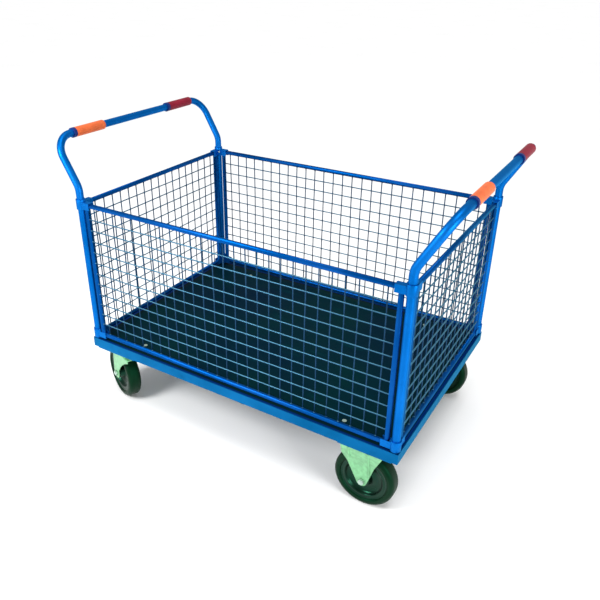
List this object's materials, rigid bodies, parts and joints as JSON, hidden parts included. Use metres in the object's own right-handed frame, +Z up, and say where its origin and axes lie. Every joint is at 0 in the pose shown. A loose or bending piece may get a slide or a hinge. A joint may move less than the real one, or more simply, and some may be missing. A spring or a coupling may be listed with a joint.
{
  "type": "mesh cage platform cart",
  "caption": "Platform cart with a flush deck, welded mesh cage panels all round, U-shaped push handles as corner posts, and two swivel and two rigid casters.",
  "frame": {"origin": "on the floor, under the middle of the platform", "axes": "+Z up, +X along the platform towards the rigid casters, +Y across the platform"},
  "size_m": [1.3776, 0.8, 1.0168],
  "materials": {
    "frame_paint": "semi-gloss powder coat",
    "handle_paint": "semi-gloss powder coat",
    "panel_paint": "semi-gloss powder coat",
    "clamp_paint": "semi-gloss powder coat",
    "mesh_wire": "powder-coated welded wire",
    "deck_board": "film-faced plywood, smooth and dark",
    "zinc_hardware": "zinc plated",
    "grip_near": "soft moulded grip",
    "grip_far": "soft moulded grip",
    "collar_plastic": "matt",
    "tyre_rubber": "moulded rubber, matt",
    "rim_plastic": "matt moulded",
    "bearing_steel": "ground",
    "caster_zinc": "bright passivated zinc plate",
    "race_steel": "ground and greased"
  },
  "bodies": {
    "cart": {"axle_set_right_far": "zinc_hardware", "axle_set_right_near": "zinc_hardware", "caster_bolts": "zinc_hardware", "caster_mount_plates": "frame_paint", "clamp_grub_screws": "zinc_hardware", "corner_clamps_left_far": "clamp_paint", "corner_clamps_left_near": "clamp_paint", "corner_clamps_right_far": "clamp_paint", "corner_clamps_right_near": "clamp_paint", "cross_beam_left": "frame_paint", "cross_beam_middle": "frame_paint", "cross_beam_right": "frame_paint", "deck_board": "deck_board", "deck_bolts": "zinc_hardware", "frame_rail_far": "frame_paint", "frame_rail_left": "frame_paint", "frame_rail_near": "frame_paint", "frame_rail_right": "frame_paint", "grip_collars_left": "collar_plastic", "grip_collars_right": "collar_plastic", "grip_left_far": "grip_far", "grip_left_near": "grip_near", "grip_right_far": "grip_far", "grip_right_near": "grip_near", "handle_tube_left": "handle_paint", "handle_tube_right": "handle_paint", "kingpin_left_far": "zinc_hardware", "kingpin_left_near": "zinc_hardware", "panel_frame_far": "panel_paint", "panel_frame_left": "panel_paint", "panel_frame_near": "panel_paint", "panel_frame_right": "panel_paint", "panel_mesh_far": "mesh_wire", "panel_mesh_left": "mesh_wire", "panel_mesh_near": "mesh_wire", "panel_mesh_right": "mesh_wire", "rigid_fork_right_far": "caster_zinc", "rigid_fork_right_near": "caster_zinc", "swivel_plate_left_far": "caster_zinc", "swivel_plate_left_near": "caster_zinc"},
    "swivel_left_near": {"swivel_fork_left_near": "caster_zinc", "swivel_race_left_near": "race_steel", "swivel_balls_left_near": "race_steel", "axle_set_left_near": "zinc_hardware"},
    "wheel_left_near": {"tyre_left_near": "tyre_rubber", "rim_left_near": "rim_plastic", "bearing_left_near": "bearing_steel"},
    "wheel_right_near": {"tyre_right_near": "tyre_rubber", "rim_right_near": "rim_plastic", "bearing_right_near": "bearing_steel"},
    "swivel_left_far": {"swivel_fork_left_far": "caster_zinc", "swivel_race_left_far": "race_steel", "swivel_balls_left_far": "race_steel", "axle_set_left_far": "zinc_hardware"},
    "wheel_left_far": {"tyre_left_far": "tyre_rubber", "rim_left_far": "rim_plastic", "bearing_left_far": "bearing_steel"},
    "wheel_right_far": {"tyre_right_far": "tyre_rubber", "rim_right_far": "rim_plastic", "bearing_right_far": "bearing_steel"}
  },
  "joints": [
    {"name": "swivel_left_near", "type": "hinge", "parent": "cart", "child": "swivel_left_near", "pos_m": [-0.49, -0.338, 0.215], "axis": [0, 0, 1], "continuous": true},
    {"name": "roll_left_near", "type": "hinge", "parent": "swivel_left_near", "child": "wheel_left_near", "pos_m": [-0.54615, -0.31417, 0.1], "axis": [0.3907, 0.9205, 0], "continuous": true},
    {"name": "roll_right_near", "type": "hinge", "parent": "cart", "child": "wheel_right_near", "pos_m": [0.484, -0.338, 0.1], "axis": [0, 1, 0], "continuous": true},
    {"name": "swivel_left_far", "type": "hinge", "parent": "cart", "child": "swivel_left_far", "pos_m": [-0.49, 0.338, 0.215], "axis": [0, 0, 1], "continuous": true},
    {"name": "roll_left_far", "type": "hinge", "parent": "swivel_left_far", "child": "wheel_left_far", "pos_m": [-0.55007, 0.34859, 0.1], "axis": [0.1736, 0.9848, 0], "continuous": true},
    {"name": "roll_right_far", "type": "hinge", "parent": "cart", "child": "wheel_right_far", "pos_m": [0.484, 0.338, 0.1], "axis": [0, 1, 0], "continuous": true}
  ]
}
